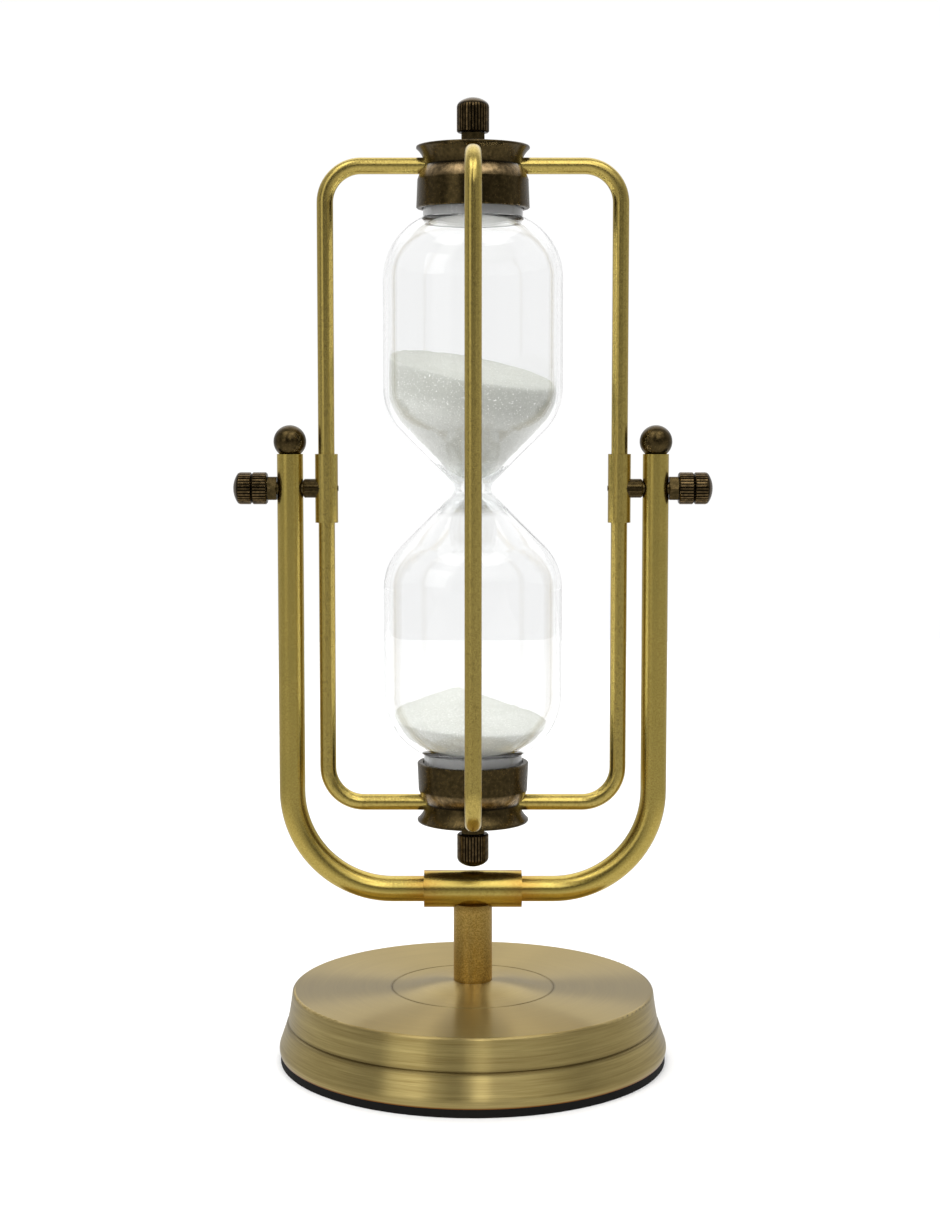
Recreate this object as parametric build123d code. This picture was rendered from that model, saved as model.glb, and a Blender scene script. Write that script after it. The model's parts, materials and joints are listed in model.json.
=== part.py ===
from build123d import *
import math
import os

# Rotating hourglass: a glass in a wire cage that turns on two pivots between the arms of a yoke.
# Millimetres. Z = 0 is the table, the pivot axis runs along X and the front is -Y.
# Sizes of the cage and glass are measured from the pivot, and its lower half mirrors the upper one.

# Base: a turned brass shell over a cast iron weight, on a rubber foot.
foot_thickness = 2.5
foot_inset = 0.4  # foot edge inside the widest line of the base
base_radius = 60.5  # widest line
base_height = 19.8  # shell's lower edge to its flat top
base_bulge_height = 1.7  # of the widest line, above the shell's lower edge
base_bulge_radius = 4.0  # rounding of the widest line
groove_height = 9.8  # above the shell's lower edge
groove_width = 0.9
groove_depth = 0.35
lower_band_inset = 2.4  # at the groove, from the widest line
upper_band_inset = 2.75
upper_band_hollow = 0.1
top_edge_inset = 4.1
top_edge_round = 1.0
base_side_wall = 7.0
base_crown_thickness = 2.4
boss_radius = 25.3  # shallow mound in the middle of the top, inside a scribed line
boss_rise = 2.1
boss_line_width = 0.5
boss_line_depth = 0.25
weight_gap = 0.2  # round the weight
weight_recess = 0.5  # weight's underside above the foot

# Post, and the screw that holds it down.
post_radius = 6.0
post_length = 28.9  # boss to the tee's axis
post_horn_trim = 4.5  # post's saddle ends this far below the tee's axis
post_stud_radius = 3.0
post_stud_depth = 12.0  # into the post
post_stud_clearance = 0.2
washer_radius = 6.0
washer_thickness = 1.6
post_nut_flats = 10.0
post_nut_height = 5.0
recess_clearance = 2.0  # round and below the nut

# Yoke: two bent tubes that meet in the tee.
tee_radius = 5.75
tee_length = 30.4
arm_radius = 4.0
arm_wall = 1.25
arm_bend_radius = 31.0
arm_joint_gap = 1.0
arm_rise = 10.5  # arm above the pivot
ball_radius = 5.0
ball_seat_radius = 3.25
ball_spigot_length = 4.0

# Glass.
glass_radius = 27.4
glass_wall = 1.5
glass_end_height = 90.0
neck_tube_radius = 15.2
neck_tube_fillet = 0.5
shoulder_height = 63.7
shoulder_arc_radius = 20.0
cone_arc_radius = 18.0
cone_angle = math.radians(45)  # from the glass's axis
waist_radius = 5.6
waist_arc_radius = 2.9
capillary_radius = 0.8
funnel_arc_radius = 9.5

# Stoppers, cushion pads and sand.
stopper_height = 81.3  # stopper's inner face
stopper_chamfer = 0.3
pad_thickness = 1.5
pad_gap = 0.2
sand_gap = 0.1
upper_sand_level = 36.8  # on the axis
upper_sand_slope_x = -0.181  # rise per unit of X
upper_sand_slope_y = 0.166
lower_sand_peak = (-5.0, 6.0, -61.5)
lower_sand_slope = 0.37

# End caps: a cup over the glass's neck and a flange screwed against it, with the rods between.
cup_gap = 0.4  # round the neck
cup_wall = 1.6
cup_draft = 0.35  # cup narrows by this from its rim to its shoulder
cup_depth = 6.8
cup_floor_thickness = 5.95
cup_rim_chamfer = 0.3
cup_shoulder_drop = 4.25  # shoulder starts this far below the joint
cup_shoulder_round = 0.8
cup_shoulder_lean = math.radians(18)  # turn of the rounded edge where the shoulder starts
cap_waist_inset = 2.6  # waist inside the cup's rim
flange_thickness = 5.95
flange_edge = 0.8
flange_edge_round = 0.5
flange_hollow = 0.65
cap_screw_radius = 2.0
cap_screw_head_radius = 4.0
cap_screw_head_height = 2.0
cap_screw_clearance = 0.1

# Cage rods.
rod_radius = 2.5
rod_bend_radius = 11.0
rod_end_radius = 5.0  # inner ends, from the cage's axis
rod_gap = 15.0  # glass to rods
sleeve_radius = 3.5
sleeve_length = 21.0

# Pivots, nuts and knurled knobs.
pivot_radius = 2.0
pivot_clearance = 0.05  # in the arm's holes
pivot_tip_radius = 0.8  # stud's turned-down end, riveted over inside the cage
pivot_tip = 0.15  # stud proud of the sleeve's inner side
side_play = 0.1  # arm to spacer and arm to nut
spacer_radius = 2.9
spacer_length = 3.55
spacer_end_chamfer = 0.4
spacer_teeth = 20
spacer_tooth_depth = 0.25
nut_flats = 7.0
nut_chamfer = 0.5
pivot_nut_height = 2.8
cap_nut_height = 3.8
knob_gap = 0.1  # nut to knob
knob_radius = 4.9
knob_teeth = 32
knob_tooth_depth = 0.35
knob_chamfer = 0.4
knob_bore_clearance = 0.05
knob_bore_spare = 0.6  # bore beyond the screw's end
screw_engagement = 6.0  # screw inside its knob
cap_knob_length = 10.5
cap_knob_crown_radius = 6.8
cap_knob_nose_round = 2.2
pivot_knob_length = 10.45
pivot_knob_crown_radius = 8.0
pivot_knob_nose_round = 1.4
pivot_knob_groove_place = 4.7  # from the open end
pivot_knob_groove_depth = 0.5
pivot_knob_groove_width = 1.0
swing_clearance = 1.3  # lower knob over the tee

# Places that follow from the sizes.
base_top = foot_thickness + base_height
post_seat = base_top + boss_rise
tee_height = post_seat + post_length
cup_floor = glass_end_height + pad_thickness
joint_height = cup_floor + cup_floor_thickness
cup_rim = cup_floor - cup_depth
cup_bore_radius = neck_tube_radius + cup_gap
cup_rim_radius = cup_bore_radius + cup_wall
cap_waist_radius = cup_rim_radius - cap_waist_inset
flange_top = joint_height + flange_thickness
cap_knob_start = flange_top + cap_nut_height + knob_gap
cage_half_length = cap_knob_start + cap_knob_length
pivot_height = tee_height + tee_radius + swing_clearance + cage_half_length
rod_reach = glass_radius + rod_gap + rod_radius
spacer_end = rod_reach + sleeve_radius + spacer_length
arm_reach = spacer_end + side_play + arm_radius
pivot_nut_start = arm_reach + arm_radius + side_play
pivot_knob_start = pivot_nut_start + pivot_nut_height + knob_gap
arm_top = pivot_height + arm_rise


def arc(centre, radius, start, end):
    """Arc about a centre, between two angles in radians."""
    points = [
        (centre[0] + radius * math.cos(angle), centre[1] + radius * math.sin(angle))
        for angle in (start, (start + end) / 2, end)
    ]
    return ThreePointArc(*points)


def turned(outline):
    """Solid turned about Z from a closed outline of radius and height."""
    return revolve(Plane.XZ * make_face(outline), Axis.Z)


def cylinder_up(radius, low, high):
    """Upright cylinder on the Z axis."""
    return Pos(0, 0, low) * extrude(Circle(radius), high - low)


def cylinder_along_x(radius, low, high, height=0.0):
    """Cylinder along X at a height above the origin."""
    return Pos(low, 0, height) * Rot(0, 90, 0) * extrude(Circle(radius), high - low)


def in_cage(shape):
    """Move a shape drawn about the pivot to its place above the table."""
    return Pos(0, 0, pivot_height) * shape


def left_of(shape):
    """Mirror a right-hand shape to the left."""
    return mirror(shape, Plane.YZ)


def below(shape):
    """Mirror an upper shape to the lower end of the cage."""
    return mirror(shape, Plane.XY)


def hex_nut(flats, height, bore_radius):
    """Hexagon nut standing on Z = 0, with two corners along Y and both ends chamfered."""
    corner = flats / math.sqrt(3)
    blank = extrude(RegularPolygon(flats / 2, 6, major_radius=False, rotation=30), height)
    end_radius = corner - nut_chamfer
    slope_height = nut_chamfer / 2
    envelope = turned(
        Polyline(
            (0, 0),
            (end_radius, 0),
            (corner, slope_height),
            (corner, height - slope_height),
            (end_radius, height),
            (0, height),
            close=True,
        )
    )
    return (blank & envelope) - cylinder_up(bore_radius, 0, height)


def knurl(radius, teeth, depth, length):
    """Straight-knurled blank standing on Z = 0, with flat crests and narrow roots."""
    step = math.tau / teeth
    crest = 0.25 * step
    root = 0.4 * step
    points = []
    for tooth in range(teeth):
        middle = tooth * step
        for offset, at in ((-crest, radius), (crest, radius), (root, radius - depth)):
            angle = middle + offset
            points.append((at * math.cos(angle), at * math.sin(angle)))
        angle = middle + step - root
        points.append(((radius - depth) * math.cos(angle), (radius - depth) * math.sin(angle)))
    return extrude(make_face(Polyline(*points, close=True)), length)


def knurled_knob(length, crown_radius, nose_round, screw_radius):
    """Knurled knob with a crowned nose and a blind bore for its screw, standing on its open end."""
    crown_centre = length - crown_radius
    nose_radius = knob_radius - nose_round
    nose_start = crown_centre + math.sqrt((crown_radius - nose_round) ** 2 - nose_radius**2)
    meeting = math.atan2(nose_start - crown_centre, nose_radius)
    envelope = turned(
        Polyline(
            (0, length),
            (0, 0),
            (knob_radius - knob_chamfer, 0),
            (knob_radius, knob_chamfer),
            (knob_radius, nose_start),
        )
        + arc((nose_radius, nose_start), nose_round, 0, meeting)
        + arc((0, crown_centre), crown_radius, meeting, math.pi / 2)
    )
    knob = knurl(knob_radius, knob_teeth, knob_tooth_depth, length) & envelope
    bore_depth = screw_engagement + knob_bore_spare
    return knob - cylinder_up(screw_radius + knob_bore_clearance, 0, bore_depth)


def foot_pad():
    """Flat rubber disc under the base."""
    return cylinder_up(base_radius - foot_inset, 0, foot_thickness)


def base_shell():
    """Turned shell: tapered lower band, scribed groove, hollow upper band and a shallow boss."""
    bottom = foot_thickness
    bulge_centre = (base_radius - base_bulge_radius, bottom + base_bulge_height)
    bulge_foot = bulge_centre[0] + math.sqrt(base_bulge_radius**2 - base_bulge_height**2)
    lower_end = (base_radius - lower_band_inset, bottom + groove_height - groove_width / 2)
    reach = (lower_end[0] - bulge_centre[0], lower_end[1] - bulge_centre[1])
    taper = math.atan2(reach[1], reach[0]) - math.acos(base_bulge_radius / math.hypot(*reach))
    bulge_end = (
        bulge_centre[0] + base_bulge_radius * math.cos(taper),
        bulge_centre[1] + base_bulge_radius * math.sin(taper),
    )
    upper_start = (base_radius - upper_band_inset, bottom + groove_height + groove_width / 2)
    edge_radius = base_radius - top_edge_inset
    edge_start = (edge_radius, base_top - top_edge_round)
    upper_middle = (
        (upper_start[0] + edge_radius) / 2 - upper_band_hollow,
        (upper_start[1] + edge_start[1]) / 2,
    )
    boss_foot = boss_radius - boss_line_width / 2
    boss_middle = ((boss_foot + post_radius) / 2, base_top + boss_rise / 2)
    outline = (
        Polyline((0, post_seat), (0, bottom), (bulge_foot, bottom))
        + ThreePointArc((bulge_foot, bottom), (base_radius, bulge_centre[1]), bulge_end)
        + Polyline(bulge_end, lower_end, (upper_start[0] - groove_depth, bottom + groove_height), upper_start)
        + ThreePointArc(upper_start, upper_middle, edge_start)
        + arc((edge_radius - top_edge_round, base_top - top_edge_round), top_edge_round, 0, math.pi / 2)
        + Polyline(
            (edge_radius - top_edge_round, base_top),
            (boss_radius + boss_line_width / 2, base_top),
            (boss_radius, base_top - boss_line_depth),
            (boss_foot, base_top),
        )
        + TangentArc((boss_foot, base_top), boss_middle, tangent=(-1, 0))
        + TangentArc((post_radius, post_seat), boss_middle, tangent=(1, 0))
        + Line((post_radius, post_seat), (0, post_seat))
    )
    cavity = cylinder_up(base_radius - base_side_wall, bottom, base_top - base_crown_thickness)
    hole = cylinder_up(post_stud_radius + post_stud_clearance, bottom, post_seat)
    return turned(outline) - cavity - hole


weight_top = base_top - base_crown_thickness
weight_bottom = foot_thickness + weight_recess
nut_recess = washer_thickness + post_nut_height + recess_clearance
washer_seat = weight_bottom + nut_recess


def base_weight():
    """Cast weight that fills the shell, recessed below for the washer and nut."""
    blank = cylinder_up(base_radius - base_side_wall - weight_gap, weight_bottom, weight_top)
    recess = cylinder_up(washer_radius + recess_clearance, weight_bottom, washer_seat)
    hole = cylinder_up(post_stud_radius + post_stud_clearance, weight_bottom, weight_top)
    return blank - recess - hole


def post():
    """Round post: tapped at its foot, and coped at its top to sit against the tee."""
    blank = cylinder_up(post_radius, post_seat, tee_height - post_horn_trim)
    saddle = cylinder_along_x(tee_radius, -2 * post_radius, 2 * post_radius, tee_height)
    tapping = cylinder_up(post_stud_radius, post_seat, post_seat + post_stud_depth)
    return blank - saddle - tapping


def post_stud():
    """Threaded stud from inside the post down to the nut."""
    low = washer_seat - washer_thickness - post_nut_height
    return cylinder_up(post_stud_radius, low, post_seat + post_stud_depth)


def post_washer():
    """Flat washer against the underside of the weight."""
    washer = cylinder_up(washer_radius, washer_seat - washer_thickness, washer_seat)
    return washer - cylinder_up(post_stud_radius, washer_seat - washer_thickness, washer_seat)


def post_nut():
    """Nut that pulls the post down onto the base."""
    height = washer_seat - washer_thickness - post_nut_height
    return Pos(0, 0, height) * hex_nut(post_nut_flats, post_nut_height, post_stud_radius)


def tee_sleeve():
    """Tube across the top of the post, into which both arms are brazed."""
    half = tee_length / 2
    tube = cylinder_along_x(tee_radius, -half, half, tee_height)
    return tube - cylinder_along_x(arm_radius, -half, half, tee_height)


def yoke_arm():
    """Right arm: a tube from the middle of the tee, round one bend and up past the pivot."""
    path = FilletPolyline(
        (arm_joint_gap / 2, 0, tee_height),
        (arm_reach, 0, tee_height),
        (arm_reach, 0, arm_top),
        radius=arm_bend_radius,
    )
    start = Plane(path @ 0, z_dir=path % 0)
    outside = sweep(start * Circle(arm_radius), path=path)
    inside = sweep(start * Circle(arm_radius - arm_wall), path=path)
    hole_start = arm_reach - 2 * arm_radius
    hole_end = arm_reach + 2 * arm_radius
    hole = cylinder_along_x(pivot_radius + pivot_clearance, hole_start, hole_end, pivot_height)
    return outside - inside - hole


def ball_finial():
    """Ball on top of the right arm, with a spigot in the mouth of the tube."""
    centre = arm_top + math.sqrt(ball_radius**2 - ball_seat_radius**2)
    ball = Pos(arm_reach, 0, centre) * Sphere(ball_radius)
    ball = split(ball, Plane.XY.offset(arm_top), keep=Keep.TOP)
    spigot = cylinder_up(arm_radius - arm_wall, arm_top - ball_spigot_length, arm_top)
    return ball + Pos(arm_reach, 0, 0) * spigot


def cage_rod():
    """Right rod, bent to a C from between the upper cap's halves out and back at the lower cap."""
    path = FilletPolyline(
        (rod_end_radius, 0, joint_height),
        (rod_reach, 0, joint_height),
        (rod_reach, 0, -joint_height),
        (rod_end_radius, 0, -joint_height),
        radius=rod_bend_radius,
    )
    return sweep(Plane(path @ 0, z_dir=path % 0) * Circle(rod_radius), path=path)


def pivot_bore():
    """Cross hole through the right rod and its sleeve, stepped down for the tip of the stud."""
    tip_hole = cylinder_along_x(pivot_tip_radius, rod_reach - 2 * sleeve_radius, rod_reach)
    return tip_hole + cylinder_along_x(pivot_radius, rod_reach, rod_reach + 2 * sleeve_radius)


def rod_sleeve():
    """Sleeve brazed round the right rod where the pivot stud goes through it."""
    half = sleeve_length / 2
    tube = cylinder_up(sleeve_radius, -half, half) - cylinder_up(rod_radius, -half, half)
    return Pos(rod_reach, 0, 0) * tube - pivot_bore()


def pivot_stud():
    """Right stud: through the rod, the spacer, the arm and the nut, and into the knob."""
    tip = cylinder_along_x(pivot_tip_radius, rod_reach - sleeve_radius - pivot_tip, rod_reach)
    return tip + cylinder_along_x(pivot_radius, rod_reach, pivot_knob_start + screw_engagement)


def pivot_spacer():
    """Knurled spacer on the right stud, coped to sit against the sleeve."""
    start = rod_reach + sleeve_radius / 2
    length = spacer_end - start
    envelope = turned(
        Polyline(
            (0, 0),
            (spacer_radius, 0),
            (spacer_radius, length - spacer_end_chamfer),
            (spacer_radius - spacer_end_chamfer, length),
            (0, length),
            close=True,
        )
    )
    blank = knurl(spacer_radius, spacer_teeth, spacer_tooth_depth, length) & envelope
    blank -= cylinder_up(pivot_radius, 0, length)
    rod = Pos(rod_reach, 0, 0) * cylinder_up(sleeve_radius, -sleeve_length / 2, sleeve_length / 2)
    return Pos(start, 0, 0) * Rot(0, 90, 0) * blank - rod


def pivot_nut():
    """Nut on the right stud, outside the arm."""
    return Pos(pivot_nut_start, 0, 0) * Rot(0, 90, 0) * hex_nut(nut_flats, pivot_nut_height, pivot_radius)


def pivot_knob():
    """Knurled knob that locks the right nut, with a groove round it that parts the knurl in two bands."""
    knob = knurled_knob(pivot_knob_length, pivot_knob_crown_radius, pivot_knob_nose_round, pivot_radius)
    half_width = pivot_knob_groove_width / 2
    knob -= turned(
        Polyline(
            (knob_radius - pivot_knob_groove_depth, pivot_knob_groove_place),
            (knob_radius, pivot_knob_groove_place - half_width),
            (knob_radius + half_width, pivot_knob_groove_place - half_width),
            (knob_radius + half_width, pivot_knob_groove_place + half_width),
            (knob_radius, pivot_knob_groove_place + half_width),
            close=True,
        )
    )
    return Pos(pivot_knob_start, 0, 0) * Rot(0, 90, 0) * knob


def bulb_centres():
    """Centres of the arcs at the shoulder and the cone, tangent to the bulb's straight wall."""
    shoulder = (glass_radius - shoulder_arc_radius, shoulder_height)
    cone_radius = glass_radius - cone_arc_radius
    across = (cone_radius - waist_radius - waist_arc_radius) * math.cos(cone_angle)
    cone_height = (across + cone_arc_radius + waist_arc_radius) / math.sin(cone_angle)
    return shoulder, (cone_radius, cone_height)


def bulb_wall(inset):
    """Bulb's outline moved inwards by inset, from the neck tube down to the cone's foot."""
    shoulder, cone = bulb_centres()
    tube_radius = neck_tube_radius - inset
    shoulder_radius = shoulder_arc_radius - inset
    cone_radius = cone_arc_radius - inset
    start = math.acos((tube_radius - shoulder[0]) / shoulder_radius)
    wall_radius = glass_radius - inset
    return (
        arc(shoulder, shoulder_radius, start, 0)
        + Line((wall_radius, shoulder[1]), (wall_radius, cone[1]))
        + arc(cone, cone_radius, 0, -cone_angle)
    )


def tube_foot(inset):
    """Height at which the neck tube, moved inwards by inset, meets the shoulder."""
    shoulder, cone = bulb_centres()
    across = neck_tube_radius - inset - shoulder[0]
    return shoulder[1] + math.sqrt((shoulder_arc_radius - inset) ** 2 - across**2)


def funnel(inset):
    """Inside of the bulb's pointed end: the cone's straight run and the round funnel to the capillary."""
    shoulder, cone = bulb_centres()
    cosine = math.cos(cone_angle)
    sine = math.sin(cone_angle)
    cone_radius = cone_arc_radius - inset
    floor_radius = funnel_arc_radius - (inset - glass_wall)
    cone_start = (cone[0] + cone_radius * cosine, cone[1] - cone_radius * sine)
    offset = cone_start[0] * cosine - cone_start[1] * sine
    centre_height = (capillary_radius * cosine + floor_radius - offset) / sine
    centre = (capillary_radius, centre_height)
    floor_start = (centre[0] + floor_radius * cosine, centre[1] - floor_radius * sine)
    floor_height = centre_height - floor_radius
    outline = Line(cone_start, floor_start) + arc(centre, floor_radius, -cone_angle, -math.pi / 2)
    return outline, floor_height


def hourglass_glass():
    """One-piece blown glass: two bulbs, a pinched waist with a capillary, and an open tube at each end."""
    shoulder, cone = bulb_centres()
    bore = neck_tube_radius - glass_wall
    inner_funnel, floor_height = funnel(glass_wall)
    waist = (waist_radius + waist_arc_radius, 0)
    cosine = math.cos(cone_angle)
    sine = math.sin(cone_angle)
    outer_start = (cone[0] + cone_arc_radius * cosine, cone[1] - cone_arc_radius * sine)
    outer_end = (waist[0] - waist_arc_radius * cosine, waist_arc_radius * sine)
    outline = (
        Line((neck_tube_radius, glass_end_height), (neck_tube_radius, tube_foot(0)))
        + bulb_wall(0)
        + Line(outer_start, outer_end)
        + arc(waist, waist_arc_radius, math.pi - cone_angle, math.pi)
        + Polyline((waist_radius, 0), (capillary_radius, 0), (capillary_radius, floor_height))
        + inner_funnel
        + bulb_wall(glass_wall)
        + Polyline(
            (bore, tube_foot(glass_wall)),
            (bore, glass_end_height),
            (neck_tube_radius, glass_end_height),
        )
    )
    half = turned(outline)
    corner = half.edges().filter_by(GeomType.CIRCLE)
    corner = corner.filter_by(lambda edge: abs(edge.radius - neck_tube_radius) < 0.01)
    corner = corner.sort_by(Axis.Z)[0]
    half = fillet(corner, neck_tube_fillet)
    return half + below(half)


def bulb_space():
    """Space inside the upper bulb that sand can fill, from the funnel to the stopper."""
    inset = glass_wall + sand_gap
    floor_outline, floor_height = funnel(inset)
    outline = (
        Polyline((capillary_radius, floor_height), (0, floor_height), (0, stopper_height))
        + Polyline(
            (0, stopper_height),
            (neck_tube_radius - inset, stopper_height),
            (neck_tube_radius - inset, tube_foot(inset)),
        )
        + bulb_wall(inset)
        + floor_outline
    )
    return turned(outline)


def upper_sand():
    """Sand still to run, with its top left sloping by the last turn."""
    slope = Plane((0, 0, upper_sand_level), z_dir=(-upper_sand_slope_x, -upper_sand_slope_y, 1))
    return split(bulb_space(), slope, keep=Keep.BOTTOM)


def lower_sand():
    """Heap of sand in the lower bulb."""
    heap_height = glass_end_height + lower_sand_peak[2]
    heap_radius = heap_height / lower_sand_slope
    heap = turned(Polyline((0, 0), (0, -heap_height), (heap_radius, -heap_height), close=True))
    return below(bulb_space()) & Pos(*lower_sand_peak) * heap


def stopper():
    """Plug in the upper end of the glass."""
    radius = neck_tube_radius - glass_wall
    return turned(
        Polyline(
            (0, stopper_height),
            (radius - stopper_chamfer, stopper_height),
            (radius, stopper_height + stopper_chamfer),
            (radius, glass_end_height),
            (0, glass_end_height),
            close=True,
        )
    )


def cushion_pad():
    """Soft disc between the glass and the floor of the upper cup."""
    return cylinder_up(cup_bore_radius - pad_gap, glass_end_height, cup_floor)


def cap_blank():
    """Rods in their places, which the cups and flanges are grooved for."""
    side = cage_rod()
    front = Rot(0, 0, -90) * side
    return [side, left_of(side), front, mirror(front, Plane.XZ)]


def cup(rods):
    """Upper cup over the end of the glass, with a countersunk floor and half-round grooves."""
    shoulder_start = (cup_rim_radius - cup_draft, joint_height - cup_shoulder_drop)
    round_centre = (shoulder_start[0] - cup_shoulder_round, shoulder_start[1])
    shoulder_edge = arc(round_centre, cup_shoulder_round, 0, cup_shoulder_lean)
    lean = (-math.sin(cup_shoulder_lean), math.cos(cup_shoulder_lean))
    outline = (
        Polyline(
            (0, cup_floor),
            (cup_bore_radius, cup_floor),
            (cup_bore_radius, cup_rim),
            (cup_rim_radius - cup_rim_chamfer, cup_rim),
            (cup_rim_radius, cup_rim + cup_rim_chamfer),
            shoulder_start,
        )
        + shoulder_edge
        + TangentArc(shoulder_edge @ 1, (cap_waist_radius, joint_height), tangent=lean)
        + Polyline((cap_waist_radius, joint_height), (0, joint_height), (0, cup_floor))
    )
    blank = turned(outline) - cap_screw_room()
    for rod in rods:
        blank -= rod
    return blank


def flange(rods):
    """Upper flange: a hollow flare from the waist out to a thin round edge."""
    edge_start = flange_top - flange_edge
    middle = (
        (cap_waist_radius + cup_rim_radius) / 2 - flange_hollow,
        (joint_height + edge_start) / 2,
    )
    round_centre = (cup_rim_radius - flange_edge_round, flange_top - flange_edge_round)
    outline = (
        ThreePointArc((cap_waist_radius, joint_height), middle, (cup_rim_radius, edge_start))
        + Line((cup_rim_radius, edge_start), (cup_rim_radius, flange_top - flange_edge_round))
        + arc(round_centre, flange_edge_round, 0, math.pi / 2)
        + Polyline((round_centre[0], flange_top), (0, flange_top), (0, joint_height))
        + Line((0, joint_height), (cap_waist_radius, joint_height))
    )
    blank = turned(outline) - cylinder_up(cap_screw_radius + cap_screw_clearance, joint_height, flange_top)
    for rod in rods:
        blank -= rod
    return blank


def cap_screw_outline(clearance, end):
    """Countersunk screw in the upper cap, with its head in the cup's floor."""
    shank = cap_screw_radius + clearance
    head = cap_screw_head_radius + clearance
    return Polyline(
        (0, cup_floor),
        (head, cup_floor),
        (shank, cup_floor + cap_screw_head_height),
        (shank, end),
        (0, end),
        close=True,
    )


def cap_screw_room():
    """Countersunk hole through the cup's floor."""
    return turned(cap_screw_outline(cap_screw_clearance, joint_height))


def cap_screw():
    """Screw from inside the upper cup, through the flange and the nut, and into the knob."""
    return turned(cap_screw_outline(0, cap_knob_start + screw_engagement))


def cap_nut():
    """Nut that pulls the upper flange onto the cup, which clamps the rods."""
    return Pos(0, 0, flange_top) * hex_nut(nut_flats, cap_nut_height, cap_screw_radius)


def cap_knob():
    """Knurled knob on the end of the upper cap screw."""
    knob = knurled_knob(cap_knob_length, cap_knob_crown_radius, cap_knob_nose_round, cap_screw_radius)
    return Pos(0, 0, cap_knob_start) * knob


rods = cap_blank()
right_arm = yoke_arm()
right_ball = ball_finial()
nodes = {
    "foot_pad": foot_pad(),
    "base_shell": base_shell(),
    "base_weight": base_weight(),
    "post": post(),
    "post_stud": post_stud(),
    "post_washer": post_washer(),
    "post_nut": post_nut(),
    "tee_sleeve": tee_sleeve(),
    "yoke_arm_right": right_arm,
    "yoke_arm_left": left_of(right_arm),
    "ball_finial_right": right_ball,
    "ball_finial_left": left_of(right_ball),
    "hourglass_glass": in_cage(hourglass_glass()),
    "upper_sand": in_cage(upper_sand()),
    "lower_sand": in_cage(lower_sand()),
    "side_rod_right": in_cage(rods[0] - pivot_bore()),
    "side_rod_left": in_cage(rods[1] - left_of(pivot_bore())),
    "front_rod": in_cage(rods[2]),
    "rear_rod": in_cage(rods[3]),
}

for name, make in (
    ("rod_sleeve", rod_sleeve),
    ("pivot_stud", pivot_stud),
    ("pivot_spacer", pivot_spacer),
    ("pivot_nut", pivot_nut),
    ("pivot_knob", pivot_knob),
):
    right_piece = make()
    nodes[name + "_right"] = in_cage(right_piece)
    nodes[name + "_left"] = in_cage(left_of(right_piece))

upper_cup = cup(rods)
upper_flange = flange(rods)
for name, upper_piece in (
    ("cup", upper_cup),
    ("flange", upper_flange),
    ("stopper", stopper()),
    ("cushion_pad", cushion_pad()),
    ("cap_screw", cap_screw()),
    ("cap_nut", cap_nut()),
    ("cap_knob", cap_knob()),
):
    nodes["upper_" + name] = in_cage(upper_piece)
    nodes["lower_" + name] = in_cage(below(upper_piece))

os.makedirs("parts", exist_ok=True)
for name, shape in nodes.items():
    export_step(shape, f"parts/{name}.step")
print(len(nodes), "nodes, pivot", round(pivot_height, 2), "arm reach", round(arm_reach, 2))
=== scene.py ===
import json
import math

import bpy
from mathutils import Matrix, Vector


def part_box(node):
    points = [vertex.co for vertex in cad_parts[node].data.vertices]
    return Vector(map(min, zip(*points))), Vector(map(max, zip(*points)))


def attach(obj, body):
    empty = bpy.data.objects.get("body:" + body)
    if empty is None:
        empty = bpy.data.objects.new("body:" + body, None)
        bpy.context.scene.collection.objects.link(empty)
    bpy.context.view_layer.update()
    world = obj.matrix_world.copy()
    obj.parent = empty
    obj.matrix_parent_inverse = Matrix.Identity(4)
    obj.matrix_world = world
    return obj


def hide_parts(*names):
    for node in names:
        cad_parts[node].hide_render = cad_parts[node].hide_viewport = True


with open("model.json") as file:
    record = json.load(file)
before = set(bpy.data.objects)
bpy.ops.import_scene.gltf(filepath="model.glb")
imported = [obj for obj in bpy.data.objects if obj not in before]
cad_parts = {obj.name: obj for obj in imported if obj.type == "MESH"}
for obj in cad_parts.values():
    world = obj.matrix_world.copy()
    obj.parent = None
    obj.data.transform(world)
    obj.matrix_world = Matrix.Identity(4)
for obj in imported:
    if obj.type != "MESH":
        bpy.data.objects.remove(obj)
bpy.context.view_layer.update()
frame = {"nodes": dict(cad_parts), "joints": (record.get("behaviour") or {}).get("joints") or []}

nodes = frame["nodes"]

# Camera: on the object's front, a little above the pivots and looking slightly down.
camera_place = (-0.0009, -0.65538, 0.2029)
camera_dip = 5.36
camera_data = bpy.data.cameras.new("camera")
camera_data.lens = 63.24
camera_data.sensor_width = 36.0
camera = bpy.data.objects.new("camera", camera_data)
bpy.context.scene.collection.objects.link(camera)
camera.location = camera_place
camera.rotation_euler = (math.radians(90 - camera_dip), 0, 0)
bpy.context.scene.camera = camera


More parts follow.
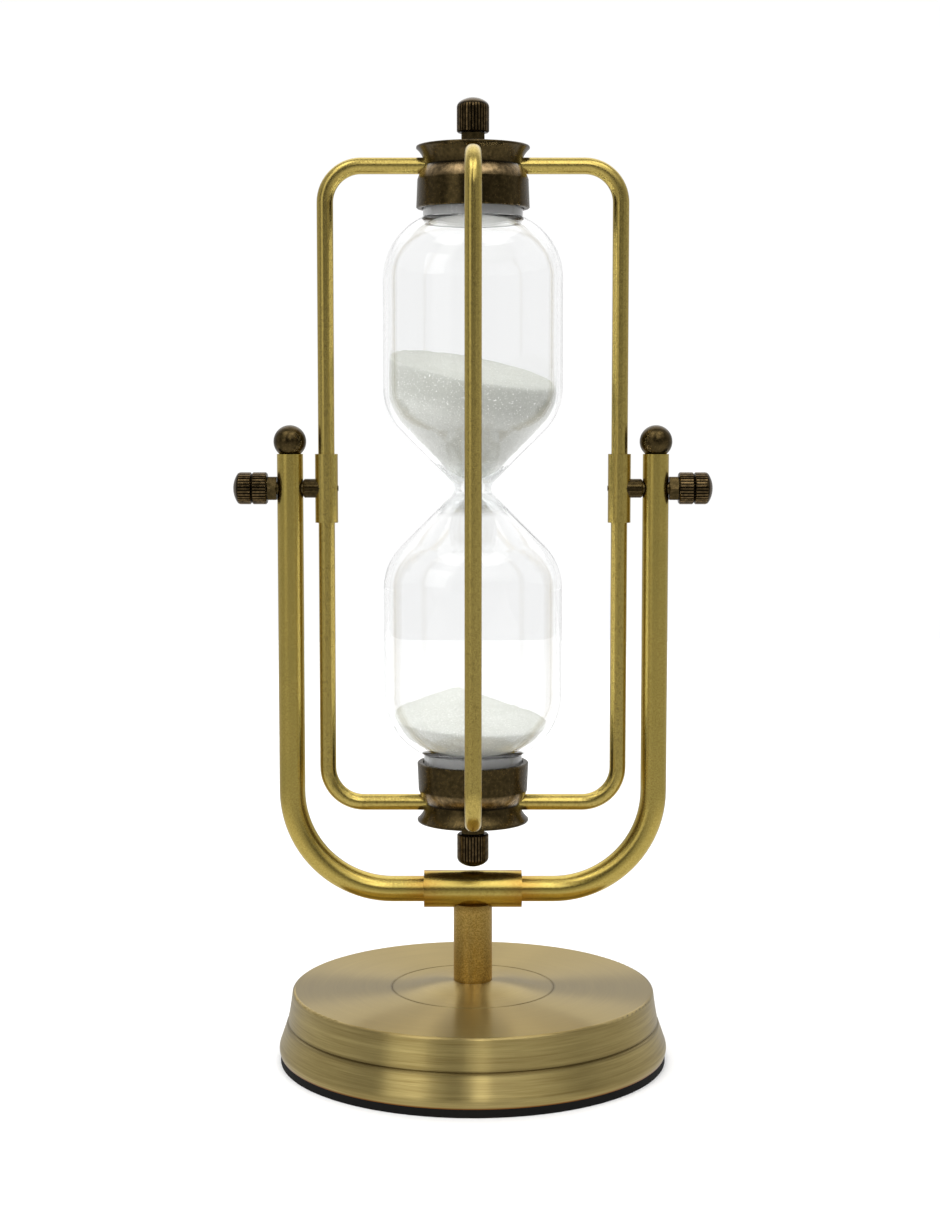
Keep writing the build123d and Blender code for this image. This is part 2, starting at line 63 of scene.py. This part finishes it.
# Foot pad: a die-cut disc of black rubber glued under the base, dull and slightly dusty.
# The classes and functions here serve every later section too.
class Value:
    """A number, vector or colour on its way through the nodes. Its operators add Math nodes."""

    def __init__(self, finish, node, output):
        self.finish = finish
        self.node = node
        self.socket = next((s for s in node.outputs if s.enabled and output in (None, s.name)), None)

    def out(self, name):
        return Value(self.finish, self.node, name)

    def math(self, operation, *others, clamp=False):
        settings = {"operation": operation, "use_clamp": clamp}
        return self.finish.add("Math", settings, dict(enumerate(others)))

    def __add__(self, other):
        return self.math("ADD", self, other)

    def __sub__(self, other):
        return self.math("SUBTRACT", self, other)

    def __rsub__(self, other):
        return self.math("SUBTRACT", other, self)

    def __mul__(self, other):
        return self.math("MULTIPLY", self, other)

    def __truediv__(self, other):
        return self.math("DIVIDE", self, other)

    def __pow__(self, other):
        return self.math("POWER", self, other)

    def __abs__(self):
        return self.math("ABSOLUTE", self)

    def __gt__(self, other):
        return self.math("GREATER_THAN", self, other)

    __radd__ = __add__
    __rmul__ = __mul__

    def at_least(self, other):
        """The larger of this and another value."""
        return self.math("MAXIMUM", self, other)

    def clamped(self):
        """This held between 0 and 1."""
        return self.math("ADD", self, 0.0, clamp=True)

    def band(self, centre, half, edge):
        """1 within half of the centre, falling to 0 over edge."""
        return (1 - (abs(self - centre) - half) / edge).clamped()

    def rise(self, start, end):
        """0 up to start, growing to 1 at end."""
        return ((self - start) / (end - start)).clamped()


class Finish:
    """The nodes of one material, or of the world."""

    def __init__(self, owner):
        owner.use_nodes = True
        self.owner = owner
        self.tree = owner.node_tree
        self.tree.nodes.clear()

    def add(self, kind, settings=None, sockets=None, output=None):
        """A node of that kind: its settings first, then the values or links of its sockets."""
        node = self.tree.nodes.new("ShaderNode" + kind)
        for name, setting in (settings or {}).items():
            setattr(node, name, setting)
        for name, value in (sockets or {}).items():
            if isinstance(name, int):
                socket = node.inputs[name]
            else:
                socket = next(s for s in node.inputs if s.enabled and s.name == name)
            if isinstance(value, Value):
                self.tree.links.new(value.socket, socket)
            else:
                socket.default_value = value
        return Value(self, node, output)

    def mix(self, factor, first, second):
        """Colour between two colours."""
        sockets = {"Factor": factor, "A": first, "B": second}
        return self.add("Mix", {"data_type": "RGBA"}, sockets)

    def place(self):
        """Where a point is on its piece, as x, y and z in metres, in the frame's axes at rest."""
        place = self.add("TexCoord", {}, {}, "Object")
        parts = self.add("SeparateXYZ", {}, {"Vector": place})
        return parts.out("X"), parts.out("Y"), parts.out("Z")

    def vector(self, x, y, z):
        return self.add("CombineXYZ", {}, {"X": x, "Y": y, "Z": z})

    def noise(self, size, detail=2.0, stretch=(1, 1, 1)):
        """Noise from 0 to 1 whose blots are about size metres across, times stretch."""
        x, y, z = self.place()
        vector = self.vector(x / stretch[0], y / stretch[1], z / stretch[2])
        return self.add("TexNoise", {}, {"Vector": vector, "Scale": 1 / size, "Detail": detail})

    def bump(self, height, depth):
        """Normal bent by a height from 0 to 1 that stands depth metres tall."""
        return self.add("Bump", {}, {"Height": height, "Distance": depth, "Strength": 1.0})

    def surface(self, **sockets):
        """Principled surface. Underscores in the names stand for spaces."""
        named = {name.replace("_", " "): value for name, value in sockets.items()}
        return self.add("BsdfPrincipled", {}, named)

    def end(self, surface):
        """Puts the surface on the material and hands the material back."""
        self.add("OutputMaterial", {}, {"Surface": surface})
        return self.owner


def tone(red, green, blue):
    """Linear colour from display values out of 255."""
    shares = [value / 255 for value in (red, green, blue)]
    linear = [((v + 0.055) / 1.055) ** 2.4 if v > 0.04 else v / 12.92 for v in shares]
    return (*linear, 1.0)


def new_finish(name):
    return Finish(bpy.data.materials.new(name))


def dress(material, *names):
    """Puts a material on CAD nodes."""
    for name in names:
        for slot in nodes[name].material_slots:
            slot.link = "DATA"
            slot.material = material


finish = new_finish("foot_rubber_finish")
dust = finish.noise(0.004, 4.0)
dress(
    finish.end(
        finish.surface(
            Base_Color=finish.mix(dust, tone(8, 8, 7), tone(20, 18, 15)),
            Specular_IOR_Level=0.2,
            Roughness=0.65 + 0.25 * dust,
            Normal=finish.bump(finish.noise(0.0006), 0.00005),
        )
    ),
    "foot_pad",
)


# Base shell: turned brass, brushed on the lathe so its lines run round it, then darkened and lacquered.
# The groove and the scribed line are darker, and the cut edge above the foot is bare and warm.
shell_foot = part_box("base_shell")[0].z
groove_place = shell_foot + 0.0098
groove_reach = 0.05
flat_place = shell_foot + 0.0198
scribe_radius = 0.0253
line_size = 0.00055
wide_line_size = 6 * line_size
line_breaks = 2.6
finish = new_finish("brushed_base_finish")
x, y, z = finish.place()
radius = (x * x + y * y) ** 0.5
across = finish.vector(radius / line_size, z / line_size, line_breaks * x / radius)
lines = finish.add(
    "TexNoise", {"noise_dimensions": "4D"},
    {"Vector": across, "W": line_breaks * y / radius, "Scale": 1.0, "Detail": 3.0, "Roughness": 0.65},
)
wide_across = finish.vector(radius / wide_line_size, z / wide_line_size, x / radius)
wide_lines = finish.add(
    "TexNoise", {"noise_dimensions": "4D"},
    {"Vector": wide_across, "W": y / radius, "Scale": 1.0, "Detail": 1.0},
)
patches = finish.noise(0.03, 2.0)
flat_top = z.rise(flat_place - 0.0008, flat_place - 0.0001)
# Darker along the groove and along the scribed line on the top.
groove_and_scribe_dark = z.band(groove_place, 0.0003, 0.0008) * (radius > groove_reach) * 0.55
groove_and_scribe_dark = groove_and_scribe_dark + radius.band(scribe_radius, 0.0002, 0.0006) * flat_top * 0.45
bare_edge = 1 - z.rise(shell_foot + 0.0002, shell_foot + 0.0006)
brass = finish.mix(lines.rise(0.3, 0.7), tone(164, 143, 86), tone(206, 186, 122))
brass = finish.mix(wide_lines.rise(0.35, 0.65) * 0.3, brass, tone(150, 130, 78))
brass = finish.mix(patches.rise(0.4, 0.75) * 0.2, brass, tone(166, 148, 104))
brass = finish.mix(flat_top * 0.75, brass, tone(176, 155, 102))
brass = finish.mix(groove_and_scribe_dark.clamped(), brass, tone(92, 78, 46))
brass = finish.mix(bare_edge, brass, tone(140, 92, 44))
dress(
    finish.end(
        finish.surface(
            Base_Color=brass,
            Metallic=1.0,
            Roughness=0.3 + 0.06 * lines,
            Anisotropic=0.98,
            Anisotropic_Rotation=0.25,
            Coat_Weight=0.05,
            Coat_Roughness=0.2,
            Normal=finish.bump(lines * (1 - flat_top * 0.8), 0.000012),
        )
    ),
    "base_shell",
)


# Base weight, its stud, washer and nut: rough grey iron and zinc-plated steel, inside the shell.
finish = new_finish("cast_iron_finish")
pits = finish.noise(0.0015, 5.0)
dress(
    finish.end(
        finish.surface(
            Base_Color=finish.mix(pits, tone(70, 68, 66), tone(112, 108, 104)),
            Metallic=0.8,
            Roughness=0.55 + 0.2 * pits,
            Normal=finish.bump(pits, 0.0002),
        )
    ),
    "base_weight",
)
finish = new_finish("plated_steel_finish")
bloom = finish.noise(0.003, 3.0)
dress(
    finish.end(
        finish.surface(
            Base_Color=finish.mix(bloom, tone(165, 168, 172), tone(205, 205, 200)),
            Metallic=1.0,
            Roughness=0.3 + 0.15 * bloom,
        )
    ),
    "post_stud", "post_washer", "post_nut",
)


# Post: solid brass bar, blasted so that it has a fine grain, and browner than the tubes. Its ends are
# darkened with painted shade where it meets the base and the tee.
post_low, post_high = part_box("post")
finish = new_finish("blasted_post_finish")
grain = finish.noise(0.00045, 2.0)
drift = finish.noise(0.006, 2.0, stretch=(1, 1, 3))
x, y, z = finish.place()
# Painted shade: darker for the lowest 1.2 mm, against the base, and for the top 2.2 mm, under the tee.
painted_end_shade = (1 - z.rise(post_low.z, post_low.z + 0.0012)) + z.rise(post_high.z - 0.0022, post_high.z)
brown = finish.mix(grain.rise(0.35, 0.65), tone(172, 138, 66), tone(216, 182, 102))
brown = finish.mix(drift.rise(0.4, 0.7) * 0.35, brown, tone(170, 146, 86))
brown = finish.mix(painted_end_shade.clamped() * 0.5, brown, tone(92, 64, 26))
dress(
    finish.end(
        finish.surface(
            Base_Color=brown,
            Metallic=1.0,
            Roughness=0.36 + 0.1 * grain,
            Normal=finish.bump(grain, 0.00003),
        )
    ),
    "post",
)


# Tee and yoke arms: drawn brass tube, satin finished and brazed where the arms enter the tee.
# The heat of the braze left a warm tint beside the tee.
tee_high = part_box("tee_sleeve")[1]
finish = new_finish("satin_tube_finish")
grain = finish.noise(0.0005, 2.0)
drift = finish.noise(0.012, 2.0)
x, y, z = finish.place()
heat = abs(x).band(tee_high.x, 0.0004, 0.007) * (1 - z.rise(tee_high.z, tee_high.z + 0.004))
satin = finish.mix(grain.rise(0.3, 0.7), tone(190, 165, 84), tone(208, 186, 102))
satin = finish.mix(drift.rise(0.4, 0.7) * 0.3, satin, tone(178, 162, 86))
satin = finish.mix(heat * 0.4, satin, tone(176, 118, 44))
dress(
    finish.end(
        finish.surface(
            Base_Color=satin,
            Metallic=1.0,
            Roughness=0.22 + 0.05 * grain,
            Normal=finish.bump(grain, 0.0000015),
        )
    ),
    "tee_sleeve", "yoke_arm_left", "yoke_arm_right",
)


# Cage rods and their sleeves: harder drawn brass than the tubes, with fine scratches along them
# from the drawing die and a scatter of darker flecks.
finish = new_finish("bright_rod_finish")
grain = finish.noise(0.0003, 2.0)
fleck = finish.noise(0.0007, 1.0, stretch=(1, 1, 2))
bright = finish.mix(grain.rise(0.3, 0.7), tone(180, 157, 82), tone(212, 190, 108))
bright = finish.mix(fleck.rise(0.55, 0.7) * 0.3, bright, tone(142, 120, 58))
dress(
    finish.end(
        finish.surface(
            Base_Color=bright,
            Metallic=1.0,
            Roughness=0.2 + 0.08 * grain,
            Normal=finish.bump(grain, 0.00001),
        )
    ),
    "side_rod_left", "side_rod_right", "front_rod", "rear_rod", "rod_sleeve_left", "rod_sleeve_right",
)


# Ball finials, cups, flanges, nuts, spacers, studs and cap screws: brass darkened to antique bronze
# and rubbed back by hand, so that copper shows on the cups' shoulders and the joints hold the dark.
# The light band on the shoulders is also a painted highlight.
# Both ends of the cage are alike, so places on it are distances from the pivot.
pivot = frame["joints"][0]["pos_m"][2]
cap_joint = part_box("upper_flange")[0].z - pivot
shoulder_place = cap_joint - 0.00215
finish = new_finish("antique_bronze_finish")
mottle = finish.noise(0.0012, 4.0)
speck = finish.noise(0.0005, 2.0)
x, y, z = finish.place()
reach = abs(z - pivot)
# Worn copper on the shoulders, lightened further as a painted highlight.
rubbed_and_highlight = reach.band(shoulder_place, 0.0008, 0.0014) * (0.35 + 0.65 * mottle.rise(0.35, 0.65))
bronze = finish.mix(mottle.rise(0.35, 0.65), tone(62, 52, 30), tone(86, 72, 44))
bronze = finish.mix(speck.rise(0.6, 0.75) * 0.35, bronze, tone(140, 114, 80))
bronze = finish.mix(rubbed_and_highlight * 0.42, bronze, tone(214, 182, 136))
bronze = finish.mix(reach.band(cap_joint, 0.00015, 0.0003) * 0.8, bronze, tone(30, 24, 16))
dress(
    finish.end(
        finish.surface(
            Base_Color=bronze,
            Metallic=1.0,
            Roughness=0.2 + 0.12 * mottle,
            Normal=finish.bump(speck, 0.000006),
        )
    ),
    "ball_finial_left", "ball_finial_right", "upper_cup", "lower_cup", "upper_flange", "lower_flange",
    "upper_cap_nut", "lower_cap_nut", "upper_cap_screw", "lower_cap_screw", "pivot_nut_left",
    "pivot_nut_right", "pivot_spacer_left", "pivot_spacer_right", "pivot_stud_left", "pivot_stud_right",
)


# Knurled knobs: the same bronze, rubbed bright on the crests of the knurl and on the domed ends,
# and nearly black in the cuts between the teeth. The light on the crests and domed ends is partly wear
# and partly a painted highlight.
crest_radius = 0.0049
tooth_depth = 0.00035


def knob_finish(finish, across, *names):
    """Bronze whose crests are where across, the distance from the knob's axis, is largest. Crests and
    domed end are lighter, as wear and as painted highlight.
    """
    mottle = finish.noise(0.0012, 4.0)
    # Crests and domed end: worn metal, lightened further as a painted highlight.
    crest_wear_and_highlight = across.rise(crest_radius - tooth_depth, crest_radius - 0.2 * tooth_depth)
    dome_wear_and_highlight = 1 - across.rise(crest_radius - 2.2 * tooth_depth, crest_radius - 1.4 * tooth_depth)
    bronze = finish.mix(mottle.rise(0.35, 0.65), tone(34, 28, 17), tone(50, 42, 27))
    bronze = finish.mix(crest_wear_and_highlight * (0.4 + 0.6 * mottle.rise(0.4, 0.6)), bronze, tone(112, 93, 62))
    bronze = finish.mix(dome_wear_and_highlight * 0.6, bronze, tone(104, 86, 54))
    surface = finish.surface(
        Base_Color=bronze,
        Metallic=1.0,
        Roughness=0.18 + 0.14 * mottle,
        Normal=finish.bump(mottle, 0.00001),
    )
    dress(finish.end(surface), *names)


finish = new_finish("cap_knob_finish")
x, y, z = finish.place()
knob_finish(finish, (x * x + y * y) ** 0.5, "upper_cap_knob", "lower_cap_knob")
finish = new_finish("pivot_knob_finish")
x, y, z = finish.place()
drop = z - pivot
knob_finish(finish, (drop * drop + y * y) ** 0.5, "pivot_knob_left", "pivot_knob_right")


# Hourglass: one piece of clear borosilicate tube, blown out into two bulbs and drawn in at the waist.
# The waist is nearly solid glass, fire polished, and shows as a pale neck without dark rings.
waist_reach = 0.0045
waist_fade = 0.004
waist_clearness = 0.7
finish = new_finish("clear_glass_finish")
clear = finish.surface(
    Base_Color=(0.945, 0.948, 0.948, 1.0),
    Roughness=0.0,
    IOR=1.47,
    Transmission_Weight=1.0,
)
open_way = finish.add("BsdfTransparent", {}, {"Color": (0.97, 0.98, 0.98, 1.0)})
shadow = finish.add("LightPath", {}, {}, "Is Shadow Ray")
x, y, z = finish.place()
waist = abs(z - pivot).band(0, waist_reach, waist_fade)
open_share = shadow.at_least(waist_clearness * waist)
dress(finish.end(finish.add("MixShader", {}, {0: open_share, 1: clear, 2: open_way})), "hourglass_glass")


# Sand: fine white quartz, sloped where it last slid. Against the glass it is a shade darker just
# under its surface, where the light from above doesn't reach, and single grains catch the light.
# The upper heap's surface is upper_level above the pivot at the axis, and slopes along x and y.
upper_level = 0.0368
upper_slope = (-0.181, 0.166)
shade_depth = 0.0045
finish = new_finish("white_sand_finish")
grit = finish.noise(0.0005, 2.0)
drift = finish.noise(0.007, 3.0)
spark = finish.noise(0.0004, 0.0)
x, y, z = finish.place()
depth = pivot + upper_level + upper_slope[0] * x + upper_slope[1] * y - z
shade = depth.band(shade_depth, 0.0025, 0.005) * (z > pivot)
white = finish.mix(grit.rise(0.3, 0.7), tone(206, 207, 200), tone(222, 223, 216))
white = finish.mix(drift.rise(0.4, 0.7) * 0.3, white, tone(200, 201, 192))
white = finish.mix(shade * 0.4, white, tone(150, 152, 142))
white = finish.mix(spark.rise(0.71, 0.75), white, tone(252, 252, 248))
dress(
    finish.end(
        finish.surface(
            Base_Color=white,
            Roughness=0.9,
            Normal=finish.bump(grit, 0.00012),
        )
    ),
    "upper_sand", "lower_sand",
)
lump_size = 0.006
lumps = bpy.data.textures.new("sand_lumps", "CLOUDS")
lumps.noise_scale = lump_size
lumps.noise_depth = 3


def poured(name, node):
    """The CAD heap with its edges slumped round and a lumpy surface, on the cage."""
    heap = bpy.data.objects.new(name, nodes[node].data.copy())
    bpy.context.scene.collection.objects.link(heap)
    heap.matrix_world = nodes[node].matrix_world
    grains = heap.modifiers.new("grains", "REMESH")
    grains.mode = "VOXEL"
    grains.voxel_size = 0.0005
    grains.use_smooth_shade = True
    slump = heap.modifiers.new("slump", "SMOOTH")
    slump.factor = 0.5
    slump.iterations = 30
    sag = heap.modifiers.new("sag", "DISPLACE")
    sag.texture = lumps
    sag.strength = -0.0006
    sag.mid_level = 0.0
    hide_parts(node)
    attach(heap, "cage")


poured("upper_heap", "upper_sand")
poured("lower_heap", "lower_sand")


# Stoppers and cushion pads: soft grey rubber. White dust from the sand clings to the stoppers' inner
# faces, which stand at the same height from the pivot in both bulbs.
stopper_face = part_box("upper_stopper")[0].z - pivot
finish = new_finish("grey_rubber_finish")
chalk = finish.noise(0.003, 3.0)
x, y, z = finish.place()
dusty = 1 - abs(z - pivot).rise(stopper_face + 0.0001, stopper_face + 0.0005)
grey = finish.mix(chalk, tone(164, 164, 164), tone(184, 184, 182))
grey = finish.mix(dusty * (0.7 + 0.3 * chalk), grey, tone(248, 248, 246))
dress(
    finish.end(
        finish.surface(
            Base_Color=grey,
            Roughness=0.6 + 0.15 * chalk,
        )
    ),
    "upper_stopper", "lower_stopper", "upper_cushion_pad", "lower_cushion_pad",
)


# Studio: a white table under a white surround that the camera sees, lit by soft boxes.
# The boxes are parts of the world, so that they show as soft bands in the metal. Each is placed by its
# turn from the front and its height above the horizon, in degrees: middle, half width and soft edge.
surround_light = 1.02
least_light = 0.08
middle_height = 0.15
world = bpy.data.worlds.new("studio")
bpy.context.scene.world = world
finish = Finish(world)
direction = finish.add("TexCoord", {}, {}, "Generated")
parts = finish.add("SeparateXYZ", {}, {"Vector": direction})
degree = math.pi / 180
height = parts.math("ARCSINE", parts.out("Z")) / degree
turn = parts.math("ARCTAN2", parts.out("X"), 0 - parts.out("Y")) / degree
path = finish.add("LightPath")
behind = abs(turn).rise(95, 130)
table = 0.35 * (1 - height.rise(-25, -12))
back_wall = (0.1 + 0.45 * path.out("Is Singular Ray")) * behind
dim_front = 0.31 * height.band(13, 10, 5) * turn.band(0, 60, 25)
front_ceiling = 0.4 * height.band(58, 24, 8) * turn.band(0, 40, 25)
back_ceiling = 0.9 * height.band(48, 22, 8) * abs(turn).rise(120, 150)
room = 0.45 + table + back_wall - dim_front + front_ceiling + back_ceiling
strip = (2.0 * turn.band(5, 4, 3) + 0.4 * turn.band(18, 12, 5)) * height.band(42, 20, 4)
left_box = 0.8 * turn.band(-41, 10, 5) * height.band(28, 24, 8)
right_box = 0.25 * turn.band(48, 14, 6) * height.band(28, 24, 8)
windows = 1.8 * abs(turn).band(50, 28, 3) * height.band(60, 9, 2)
gaps = (0.55 * turn.band(-16, 7, 3) + 0.14 * turn.band(42, 18, 8)) * height.band(35, 27, 6)
seen = (room + strip + left_box + right_box + windows - gaps).at_least(least_light)
direct = path.out("Is Camera Ray").at_least(path.out("Is Transmission Ray"))
strength = seen + (surround_light - seen) * direct
light = finish.add("Background", {}, {"Color": (1, 1, 1, 1), "Strength": strength})
finish.add("OutputWorld", {}, {"Surface": light})


def soft_light(name, place, size, power):
    """Square soft light that looks at the middle of the object and doesn't show in the metal."""
    data = bpy.data.lights.new(name, "AREA")
    data.size = size
    data.energy = power
    lamp = bpy.data.objects.new(name, data)
    bpy.context.scene.collection.objects.link(lamp)
    lamp.location = place
    aim = -lamp.location
    aim.z += middle_height
    lamp.rotation_euler = aim.to_track_quat("-Z", "Y").to_euler()
    lamp.visible_glossy = False


soft_light("overhead_light", (0.0, 0.1, 1.6), 1.8, 19)
soft_light("left_light", (-1.2, -0.9, 0.8), 0.9, 5)
floor_reach = 1.2
mesh = bpy.data.meshes.new("floor")
corners = [(-floor_reach, -floor_reach, 0), (floor_reach, -floor_reach, 0)]
corners += [(floor_reach, floor_reach, 0), (-floor_reach, floor_reach, 0)]
mesh.from_pydata(corners, [], [(0, 1, 2, 3)])
floor = bpy.data.objects.new("floor", mesh)
bpy.context.scene.collection.objects.link(floor)
floor.visible_glossy = False
finish = new_finish("floor_finish")
mesh.materials.append(finish.end(finish.surface(Base_Color=(0.9, 0.9, 0.9, 1), Roughness=0.7)))
bpy.context.scene.view_settings.view_transform = "Standard"
